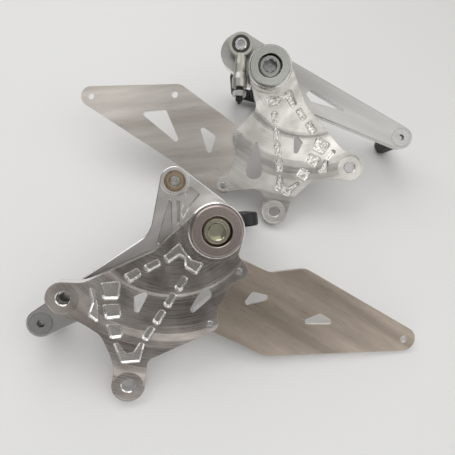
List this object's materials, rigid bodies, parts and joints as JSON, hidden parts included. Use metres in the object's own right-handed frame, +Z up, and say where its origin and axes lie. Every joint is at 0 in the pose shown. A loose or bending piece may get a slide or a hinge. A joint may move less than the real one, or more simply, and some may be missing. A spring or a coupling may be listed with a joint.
{
  "type": "rear-set footpeg and control lever set",
  "caption": "Rear-set footpeg set: pocketed side plates with heel guards, open footpegs, and swinging brake and shift levers with ringed toe pegs.",
  "frame": {"origin": "centre of the bottom of the bounding box, at the table's surface", "axes": "+Y from the brake unit towards the shift unit, away from the camera; +Z up; +X to the right in the picture"},
  "size_m": [0.2896, 0.3152, 0.0993],
  "materials": {
    "plate": "machined and brushed, bright edges",
    "guard": "brushed sheet",
    "lever": "machined and brushed, bright edges",
    "sleeve": "turned",
    "brake_bolt": "yellow zinc",
    "shift_bolt": "plain zinc",
    "washer": "plain zinc",
    "bush": "turned",
    "race": "turned",
    "ball": "polished",
    "footpeg": "black anodised",
    "toe_peg": "black anodised",
    "toe_screw": "bright zinc",
    "guard_screw": "plain zinc",
    "rod_end": "zinc",
    "rod_liner": "dark liner",
    "ball_stud": "plain zinc",
    "spacer": "turned",
    "rod_stud": "black oxide",
    "locknut": "bright zinc"
  },
  "bodies": {
    "units": {"brake_plate": "plate", "brake_heel_guard": "guard", "brake_guard_screws": "guard_screw", "brake_pivot_sleeve": "sleeve", "brake_pivot_bolt": "brake_bolt", "brake_thrust_washer": "washer", "brake_footpeg": "footpeg", "shift_plate": "plate", "shift_heel_guard": "guard", "shift_guard_screws": "guard_screw", "shift_pivot_sleeve": "sleeve", "shift_pivot_bolt": "shift_bolt", "shift_thrust_washer": "washer", "shift_footpeg": "footpeg"},
    "brake_lever": {"brake_lever": "lever", "brake_lever_bush": "bush", "brake_link_race": "race", "brake_toe_peg": "toe_peg", "brake_toe_screw": "toe_screw"},
    "brake_link": {"brake_link_ball": "ball"},
    "shift_lever": {"shift_lever": "lever", "shift_lever_bush": "bush", "shift_toe_peg": "toe_peg", "shift_toe_screw": "toe_screw", "shift_rod_spacer": "spacer", "shift_ball_stud": "ball_stud"},
    "shift_ball": {"shift_rod_ball": "ball"},
    "shift_rod": {"shift_rod_end": "rod_end", "shift_rod_race": "rod_liner", "shift_rod_stud": "rod_stud", "shift_rod_locknut": "locknut"}
  },
  "joints": [
    {"name": "brake_lever_swing", "type": "hinge", "parent": "units", "child": "brake_lever", "pos_m": [-0.01855, -0.05086, 0.06285], "axis": [0.1363, -0.6413, 0.7551], "range_deg": [-15, 15]},
    {"name": "brake_link_rock", "type": "hinge", "parent": "brake_lever", "child": "brake_link", "pos_m": [-0.04596, -0.03251, 0.08656], "axis": [0.9781, 0.2079, 0], "range_deg": [-10, 10]},
    {"name": "shift_lever_swing", "type": "hinge", "parent": "units", "child": "shift_lever", "pos_m": [0.01833, 0.10818, 0.06768], "axis": [-0.0521, -0.5957, 0.8015], "range_deg": [-15, 15]},
    {"name": "rod_end_turn", "type": "hinge", "parent": "shift_lever", "child": "shift_ball", "pos_m": [-0.00798, 0.11502, 0.09027], "axis": [-0.0521, -0.5957, 0.8015], "range_deg": [-90, 0]},
    {"name": "rod_end_tilt", "type": "hinge", "parent": "shift_ball", "child": "shift_rod", "pos_m": [-0.00798, 0.11502, 0.09027], "axis": [-0.998, 0.0032, -0.0625], "range_deg": [-8, 10]}
  ]
}
